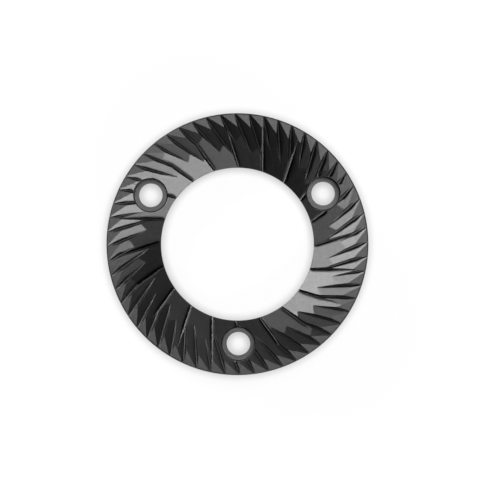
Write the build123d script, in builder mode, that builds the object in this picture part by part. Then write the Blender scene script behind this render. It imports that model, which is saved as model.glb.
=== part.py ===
from build123d import *
from math import cos, pi, radians, sqrt, tan
import os

# Flat coffee grinder burr: one steel ring, toothed on its upper face.
# The back face lies on z = 0, the axis is Z and one screw hole is on -Y.

# Ring
outer_diameter = 64.0
bore_diameter = 37.6
thickness = 9.0
rim_edge_break = 0.3
back_edge_break = 0.5

# Counterbored screw holes
screw_count = 3
screw_circle_diameter = 48.9
screw_hole_diameter = 5.8
screw_seat_diameter = 8.4
screw_seat_height = 3.6
first_screw_angle = 30.0

# Fine grinding teeth, cut in from the rim
fine_count = 56
fine_phase = 3.51
fine_tangent_radius = 11.95
fine_rim_depth = 0.155
fine_descent = 14.4
fine_ramp_angle = 31.0
fine_wall_angle = 61.4

# Coarse breaker teeth, running out short of the rim
coarse_count = 20
coarse_phase = -0.56
coarse_tangent_radius = 6.16
coarse_rim_margin = 2.45
coarse_descent = 28.2
coarse_ramp_angle = 25.0
coarse_wall_angle = 68.5

# Narrow flat that the cutter's tip leaves along the bottom of every groove
root_width = 0.12

# How far the cutters reach past the metal they remove
overrun = 1.0

outer_radius = outer_diameter / 2
bore_radius = bore_diameter / 2


def distance_along(radius, tangent_radius):
    """How far along a groove's line, from its point nearest the axis, it crosses a circle."""
    return sqrt(radius**2 - tangent_radius**2)


def groove_cutter(count, tangent_radius, start, descent, ramp_angle, wall_angle):
    """Prism that cuts one groove along +X, beside the axis.

    The groove's bottom leaves the top face at the distance start along its line and
    slopes down towards the middle. A steep wall rises on the +Y side and a broad ramp on -Y.
    The ramp is as wide as the grooves are apart, half-way from the bore to where they start.
    """
    slope = tan(radians(descent))
    ramp = tan(radians(ramp_angle))
    wall = tan(radians(wall_angle))
    start_radius = sqrt(start**2 + tangent_radius**2)
    width = pi * (bore_radius + start_radius) / count
    root_rise = root_width / (1 / ramp + 1 / wall)
    height = slope * start + overrun
    outer_end = outer_radius + overrun
    root_level = thickness + slope * (outer_end - start)
    end_plane = Plane(
        origin=(outer_end, -tangent_radius, root_level),
        x_dir=(0, -1, 0),
        z_dir=(-1, 0, 0),
    )
    with BuildPart() as cutter:
        with BuildSketch(end_plane):
            with BuildLine():
                Polyline(
                    (-root_rise / wall, root_rise),
                    (root_rise / ramp, root_rise),
                    (width, width * ramp),
                    (width, height),
                    (-height / wall, height),
                    close=True,
                )
            make_face()
        extrude(amount=outer_end / cos(radians(descent)), dir=(-1, 0, -slope))
    return cutter.part


fine_start = distance_along(outer_radius, fine_tangent_radius) + fine_rim_depth / tan(radians(fine_descent))
coarse_start = distance_along(outer_radius - coarse_rim_margin, coarse_tangent_radius)

fine_cutter = groove_cutter(
    fine_count,
    fine_tangent_radius,
    fine_start,
    fine_descent,
    fine_ramp_angle,
    fine_wall_angle,
)
coarse_cutter = groove_cutter(
    coarse_count,
    coarse_tangent_radius,
    coarse_start,
    coarse_descent,
    coarse_ramp_angle,
    coarse_wall_angle,
)

with BuildPart() as burr:
    # Turned blank
    with BuildSketch(Plane.XZ):
        with BuildLine():
            Polyline(
                (bore_radius + back_edge_break, 0),
                (outer_radius - back_edge_break, 0),
                (outer_radius, back_edge_break),
                (outer_radius, thickness - rim_edge_break),
                (outer_radius - rim_edge_break, thickness),
                (bore_radius, thickness),
                (bore_radius, back_edge_break),
                close=True,
            )
        make_face()
    revolve(axis=Axis.Z)

    # Coarse teeth first, then the fine teeth across them
    with PolarLocations(0, coarse_count, start_angle=coarse_phase):
        add(coarse_cutter, mode=Mode.SUBTRACT)
    with PolarLocations(0, fine_count, start_angle=fine_phase):
        add(fine_cutter, mode=Mode.SUBTRACT)

    # Screw holes, sunk below the teeth
    with Locations((0, 0, thickness)):
        with PolarLocations(screw_circle_diameter / 2, screw_count, start_angle=first_screw_angle):
            CounterBoreHole(
                radius=screw_hole_diameter / 2,
                counter_bore_radius=screw_seat_diameter / 2,
                counter_bore_depth=thickness - screw_seat_height,
            )

burr.part.label = "burr"

os.makedirs("parts", exist_ok=True)
export_step(burr.part, "parts/burr.step")
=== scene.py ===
import math

import bpy
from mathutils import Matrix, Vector


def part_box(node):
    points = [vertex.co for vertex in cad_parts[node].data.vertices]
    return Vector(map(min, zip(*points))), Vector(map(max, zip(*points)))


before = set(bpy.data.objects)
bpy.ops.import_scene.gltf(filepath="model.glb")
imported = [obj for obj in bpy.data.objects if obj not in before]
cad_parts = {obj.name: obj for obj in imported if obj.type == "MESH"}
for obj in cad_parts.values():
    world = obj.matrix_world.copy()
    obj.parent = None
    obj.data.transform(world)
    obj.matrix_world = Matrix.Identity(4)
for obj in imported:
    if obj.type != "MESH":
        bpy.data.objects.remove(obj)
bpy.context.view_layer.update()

# Camera, straight above the toothed face
photo_pixels = 480
millimetres_per_pixel = 0.24427
axis_pixel = (237.4, 244.15)
photo_roll_degrees = 0.56
camera_height = 1.0
camera_near = 0.01
sensor_width = 36.0

# Lamps: azimuth and elevation in degrees, distance, width and height in metres, radiance
lamps = {
    "left_strip": (136, 22, 1.2, 0.98, 0.10, 34.5),
    "side_strip": (181, 10, 1.2, 0.30, 0.10, 5),
    "right_strip": (295, 26, 1.2, 0.92, 0.10, 32),
    "overhead": (60, 74, 1.2, 0.60, 0.60, 5.2),
    "fill": (43, 15, 1.5, 1.20, 1.00, 0.42),
}

# World: white up to the horizon and dark above, by the sine of the elevation
white = (1, 1, 1, 1)
horizon_radiance = 1.0
sky_radiance = 0.004
horizon_top = 0.06
sky_bottom = 0.10

# Floor, with a narrow contact shadow
floor_half_width = 2.0
floor_gap = 0.00002
floor_grey = 0.85
shadow_share = 0.15
glow_share = 0.89
contact_glow = 0.60
contact_distance = 0.0022
contact_openness = (0.5, 1.0)
contact_samples = 16

# How level each kind of surface is: the height of its unit normal
coarse_wall_level = 0.36
fine_wall_level = 0.475
highest_wall_level = 0.6
coarse_ramp_limit = 0.826
fine_to_seat = (0.85, 1.0)
groove_bottom_level = 0.925
groove_bottom_tolerance = 0.06
chamfer_level = 0.707
level_tolerance = 0.05
upright_limit = 0.2

# Steel coating: reflectance and roughness between a tool mark's bottom and its crest
coating_reflectance = (0.092, 0.107)
coating_roughness = (0.36, 0.43)
mottle_size = 1400
mottle_detail = 3.0
mottle_contrast = (0.3, 0.7)
mottle_range = (0.92, 1.08)

# Rim: painted shade, dark on the chamfer and a little on the flat lands, which come out darker
# than the ramps
chamfer_painted_shade = 0.45
land_height = 0.00895
land_painted_shade = 0.82

# Tool marks: lengthwise and crosswise frequency per metre, and the height of a mark
mark_sizes = ((150, 2200), (500, 7000))
mark_detail = 2.0
mark_contrast = (0.6, 1.4)
mark_depth = 0.000002
rings_per_metre = 3000
facet_shift = 8

# Angle, in half turns, from the way a surface faces to its tool marks
wall_mark_angle = 0.56
coarse_mark_angle = 0.23
fine_mark_angle = 0.37

# Faint wear along the outer edges, in patches
wear_distance = 0.00022
wear_samples = 8
wear_openness = (0.9, 0.5)
most_wear = 0.04
patch_size = 300
patch_contrast = (0.35, 0.6)
least_patch = 0.4
bare_steel = (0.50, 0.50, 0.50, 1)

# Painted shade on the ramps beside each groove's bottom, and round the screw seats, where nearby
# walls close them in
coarse_reach = 0.00125
fine_reach = 0.00065
seat_reach = 0.0004
painted_shade_openness = (0.78, 0.92)
painted_shade_samples = 24
coarse_painted_shade = 0.15
fine_painted_shade = 0.28

# Rounded groove bottoms and tooth walls that turn up hollow towards their foot
crest_radius = 0.00005
root_radius = 0.0005
root_openness = (0.75, 0.92)
rounding_samples = 8
hollow_distance = 0.0008
hollow_openness = (0.55, 0.85)
hollow_samples = 16
foot_lift = 1.0
coarse_crest_lift = 0.40
fine_crest_lift = 0.0


def add_node(tree, kind, inputs=None, **settings):
    """New shader node. Each input is a value or another node's output."""
    made = tree.nodes.new(kind)
    for name, value in settings.items():
        setattr(made, name, value)
    for name, value in (inputs or {}).items():
        if isinstance(value, bpy.types.NodeSocket):
            tree.links.new(value, made.inputs[name])
        else:
            made.inputs[name].default_value = value
    return made


def add_math(tree, operation, *values):
    inputs = dict(enumerate(values))
    return add_node(tree, "ShaderNodeMath", inputs, operation=operation).outputs[0]


def map_range(tree, value, start, end, to_start, to_end):
    return add_node(tree, "ShaderNodeMapRange", {
        "Value": value,
        "From Min": start,
        "From Max": end,
        "To Min": to_start,
        "To Max": to_end,
    }).outputs["Result"]


def openness(tree, distance, samples, **settings):
    """How open the surface is within a distance, from 0 in a closed corner to 1."""
    return add_node(
        tree,
        "ShaderNodeAmbientOcclusion",
        {"Distance": distance},
        samples=samples,
        **settings,
    ).outputs["AO"]


def surface_level(tree, place):
    parts = add_node(tree, "ShaderNodeSeparateXYZ", {"Vector": place.outputs["Normal"]})
    return parts.outputs["Z"]


def new_material(name):
    material = bpy.data.materials.new(name)
    material.use_nodes = True
    material.node_tree.nodes.clear()
    return material, material.node_tree


def add_camera(top):
    width = photo_pixels * millimetres_per_pixel / 1000
    data = bpy.data.cameras.new("camera")
    data.sensor_width = sensor_width
    data.lens = sensor_width * camera_height / width
    data.clip_start = camera_near
    camera = bpy.data.objects.new("camera", data)
    right = (photo_pixels / 2 - axis_pixel[0]) * millimetres_per_pixel / 1000
    up = (axis_pixel[1] - photo_pixels / 2) * millimetres_per_pixel / 1000
    camera.location = (right, up, top + camera_height)
    camera.rotation_euler = (0, 0, -math.radians(photo_roll_degrees))
    bpy.context.scene.collection.objects.link(camera)
    bpy.context.scene.camera = camera


def add_lamp(name, target, azimuth, elevation, distance, width, height, radiance):
    data = bpy.data.lights.new(name, "AREA")
    data.shape = "RECTANGLE"
    data.size = width
    data.size_y = height
    data.energy = radiance * math.pi * width * height
    turn = math.radians(azimuth)
    rise = math.radians(elevation)
    level = math.cos(rise)
    direction = Vector((math.cos(turn) * level, math.sin(turn) * level, math.sin(rise)))
    lamp = bpy.data.objects.new(name, data)
    lamp.location = target + direction * distance
    lamp.rotation_euler = direction.to_track_quat("Z", "Y").to_euler()
    lamp.visible_camera = False
    bpy.context.scene.collection.objects.link(lamp)


def make_world():
    world = bpy.data.worlds.new("studio")
    world.use_nodes = True
    tree = world.node_tree
    tree.nodes.clear()
    place = add_node(tree, "ShaderNodeTexCoord")
    rise = add_node(tree, "ShaderNodeSeparateXYZ", {"Vector": place.outputs["Generated"]})
    height = rise.outputs["Z"]
    fade = map_range(tree, height, horizon_top, sky_bottom, horizon_radiance, sky_radiance)
    sky = add_node(tree, "ShaderNodeBackground", {"Color": white, "Strength": fade})
    add_node(tree, "ShaderNodeOutputWorld", {"Surface": sky.outputs["Background"]})
    bpy.context.scene.world = world


def mark_angle(tree, level):
    """Angle, in half turns, from the way a surface faces to its tool marks."""
    angles = add_node(tree, "ShaderNodeValToRGB", {"Fac": level})
    ramp = angles.color_ramp
    ramp.interpolation = "CONSTANT"
    ramp.elements[0].color = (wall_mark_angle, wall_mark_angle, wall_mark_angle, 1)
    ramp.elements[1].position = highest_wall_level
    ramp.elements[1].color = (coarse_mark_angle, coarse_mark_angle, coarse_mark_angle, 1)
    fine = ramp.elements.new(coarse_ramp_limit)
    fine.color = (fine_mark_angle, fine_mark_angle, fine_mark_angle, 1)
    return angles.outputs["Color"]


def tool_marks(tree, place):
    """Fine streaks, along the grooves on the teeth and round the axis on upright walls."""
    normal = add_node(tree, "ShaderNodeSeparateXYZ", {"Vector": place.outputs["Normal"]})
    point = add_node(tree, "ShaderNodeSeparateXYZ", {"Vector": place.outputs["Object"]})
    azimuth = add_math(tree, "ARCTAN2", normal.outputs["Y"], normal.outputs["X"])
    turn = mark_angle(tree, normal.outputs["Z"])
    along = add_node(
        tree,
        "ShaderNodeVectorRotate",
        {
            "Vector": place.outputs["Object"],
            "Angle": add_math(tree, "MULTIPLY_ADD", turn, math.pi, azimuth),
        },
        rotation_type="Z_AXIS",
        invert=True,
    )
    upright = add_math(tree, "COMPARE", normal.outputs["Z"], 0.0, upright_limit)
    ring = add_math(tree, "MULTIPLY", point.outputs["Z"], upright)
    ring_number = add_math(tree, "MULTIPLY", ring, rings_per_metre)
    own_part = add_math(tree, "MULTIPLY_ADD", azimuth, facet_shift, ring_number)
    streaks = []
    for lengthwise, crosswise in mark_sizes:
        stretched = add_node(
            tree,
            "ShaderNodeMapping",
            {"Vector": along.outputs["Vector"], "Scale": (lengthwise, crosswise, 0)},
        )
        noise = add_node(
            tree,
            "ShaderNodeTexNoise",
            {
                "Vector": stretched.outputs["Vector"],
                "W": own_part,
                "Scale": 1.0,
                "Detail": mark_detail,
            },
            noise_dimensions="4D",
        )
        streaks.append(noise.outputs[0])
    total = add_math(tree, "ADD", *streaks)
    return map_range(tree, total, *mark_contrast, 0.0, 1.0)


def edge_wear(tree, place):
    """How far the coating is worn off."""
    inside = openness(tree, wear_distance, wear_samples, inside=True, only_local=True)
    edge = map_range(tree, inside, *wear_openness, 0.0, most_wear)
    noise = add_node(
        tree,
        "ShaderNodeTexNoise",
        {"Vector": place.outputs["Object"], "Scale": patch_size},
    )
    patch = map_range(tree, noise.outputs[0], *patch_contrast, least_patch, 1.0)
    return add_math(tree, "MULTIPLY", edge, patch)


def corner_painted_shade(tree, place):
    """Painted shade: share of light left on ramps and seats where a nearby wall closes them in.

    The narrow bottom of each groove stays clear.
    """
    level = surface_level(tree, place)
    beyond_coarse = add_math(tree, "GREATER_THAN", level, coarse_ramp_limit)
    flatter_reach = map_range(tree, level, *fine_to_seat, fine_reach, seat_reach)
    reach = map_range(tree, beyond_coarse, 0.0, 1.0, coarse_reach, flatter_reach)
    shade = map_range(tree, beyond_coarse, 0.0, 1.0, coarse_painted_shade, fine_painted_shade)
    open_share = openness(tree, reach, painted_shade_samples, only_local=True)
    closed_in = map_range(tree, open_share, *painted_shade_openness, 1.0, 0.0)
    takes_shade = add_math(tree, "GREATER_THAN", level, highest_wall_level)
    bottom = add_math(tree, "COMPARE", level, groove_bottom_level, groove_bottom_tolerance)
    shade_area = add_math(tree, "SUBTRACT", takes_shade, bottom)
    painted_shade_amount = add_math(tree, "MULTIPLY", closed_in, shade_area)
    # Painted shade: the colour darkens where the surface is closed in
    return map_range(tree, painted_shade_amount, 0.0, 1.0, 1.0, shade)


def rim_painted_shade(tree, place):
    """Painted shade: share of light left on the chamfer and on the flat lands at the rim."""
    chamfer = add_math(tree, "COMPARE", surface_level(tree, place), chamfer_level, level_tolerance)
    # Painted shade on the chamfer, and a lighter painted shade on the lands
    edge = map_range(tree, chamfer, 0.0, 1.0, 1.0, chamfer_painted_shade)
    point = add_node(tree, "ShaderNodeSeparateXYZ", {"Vector": place.outputs["Object"]})
    land = add_math(tree, "GREATER_THAN", point.outputs["Z"], land_height)
    return map_range(tree, land, 0.0, 1.0, edge, land_painted_shade)


def coating_colour_with_painted_shade(tree, place, marks):
    """Grey of the coating: streaked, faintly mottled, with painted shade in the corners and at the
    rim.
    """
    streaked = map_range(tree, marks, 0.0, 1.0, *coating_reflectance)
    noise = add_node(
        tree,
        "ShaderNodeTexNoise",
        {"Vector": place.outputs["Object"], "Scale": mottle_size, "Detail": mottle_detail},
    )
    mottle = map_range(tree, noise.outputs[0], *mottle_contrast, *mottle_range)
    mottled = add_math(tree, "MULTIPLY", streaked, mottle)
    # Painted shade at the rim, then painted shade in the corners
    shaded = add_math(tree, "MULTIPLY", mottled, rim_painted_shade(tree, place))
    return add_math(tree, "MULTIPLY", shaded, corner_painted_shade(tree, place))


def ground_normal(tree, place):
    """Normal with rounded edges, turned up towards the foot of each tooth's wall."""
    level = surface_level(tree, place)
    open_share = openness(tree, hollow_distance, hollow_samples, only_local=True)
    radius = map_range(tree, open_share, *root_openness, root_radius, crest_radius)
    rounded = add_node(tree, "ShaderNodeBevel", {"Radius": radius}, samples=rounding_samples)
    crest_lift = map_range(
        tree, level, coarse_wall_level, fine_wall_level, coarse_crest_lift, fine_crest_lift
    )
    lift = map_range(tree, open_share, *hollow_openness, foot_lift, crest_lift)
    middle = (coarse_wall_level + fine_wall_level) / 2
    wall = add_math(tree, "COMPARE", level, middle, fine_wall_level - middle + level_tolerance)
    upward = add_node(tree, "ShaderNodeCombineXYZ", {"Z": add_math(tree, "MULTIPLY", wall, lift)})
    turned = add_node(
        tree,
        "ShaderNodeVectorMath",
        {0: rounded.outputs["Normal"], 1: upward.outputs["Vector"]},
        operation="ADD",
    )
    unit = add_node(
        tree,
        "ShaderNodeVectorMath",
        {0: turned.outputs["Vector"]},
        operation="NORMALIZE",
    )
    return unit.outputs["Vector"]


def coated_steel():
    material, tree = new_material("coated_steel")
    place = add_node(tree, "ShaderNodeTexCoord")
    marks = tool_marks(tree, place)
    colour = add_node(
        tree,
        "ShaderNodeMix",
        {
            "Factor": edge_wear(tree, place),
            "A": coating_colour_with_painted_shade(tree, place, marks),
            "B": bare_steel,
        },
        data_type="RGBA",
    )
    scratched = add_node(tree, "ShaderNodeBump", {
        "Height": marks,
        "Strength": 1.0,
        "Distance": mark_depth,
        "Normal": ground_normal(tree, place),
    })
    shader = add_node(tree, "ShaderNodeBsdfPrincipled", {
        "Base Color": colour.outputs["Result"],
        "Metallic": 1.0,
        "Roughness": map_range(tree, marks, 0.0, 1.0, *coating_roughness),
        "Normal": scratched.outputs["Normal"],
    })
    add_node(tree, "ShaderNodeOutputMaterial", {"Surface": shader.outputs["BSDF"]})
    return material


def white_floor():
    """Pale matt floor that is seen white, with a narrow contact shadow."""
    material, tree = new_material("white_floor")
    matt = add_node(tree, "ShaderNodeBsdfDiffuse", {"Color": (floor_grey,) * 3 + (1,)})
    lit = add_node(tree, "ShaderNodeBsdfDiffuse", {"Color": (shadow_share,) * 3 + (1,)})
    contact = openness(tree, contact_distance, contact_samples)
    strength = map_range(tree, contact, *contact_openness, contact_glow, glow_share)
    glow = add_node(tree, "ShaderNodeEmission", {"Color": white, "Strength": strength})
    bright = add_node(
        tree,
        "ShaderNodeAddShader",
        {0: lit.outputs["BSDF"], 1: glow.outputs["Emission"]},
    )
    path = add_node(tree, "ShaderNodeLightPath")
    seen = add_math(tree, "MAXIMUM", path.outputs["Is Camera Ray"], path.outputs["Is Glossy Ray"])
    shown = add_math(tree, "MAXIMUM", seen, path.outputs["Is Transmission Ray"])
    floor = add_node(
        tree,
        "ShaderNodeMixShader",
        {"Fac": shown, 1: matt.outputs["BSDF"], 2: bright.outputs["Shader"]},
    )
    add_node(tree, "ShaderNodeOutputMaterial", {"Surface": floor.outputs["Shader"]})
    return material


def add_floor():
    half = floor_half_width
    corners = [(-half, -half, 0), (half, -half, 0), (half, half, 0), (-half, half, 0)]
    mesh = bpy.data.meshes.new("floor")
    mesh.from_pydata(corners, [], [(0, 1, 2, 3)])
    mesh.materials.append(white_floor())
    floor = bpy.data.objects.new("floor", mesh)
    floor.location.z = -floor_gap
    bpy.context.scene.collection.objects.link(floor)


bpy.context.scene.view_settings.view_transform = "Standard"
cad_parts["burr"].material_slots[0].material = coated_steel()
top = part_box("burr")[1].z
add_camera(top)
make_world()
for name, placing in lamps.items():
    add_lamp(name, Vector((0, 0, top)), *placing)
add_floor()
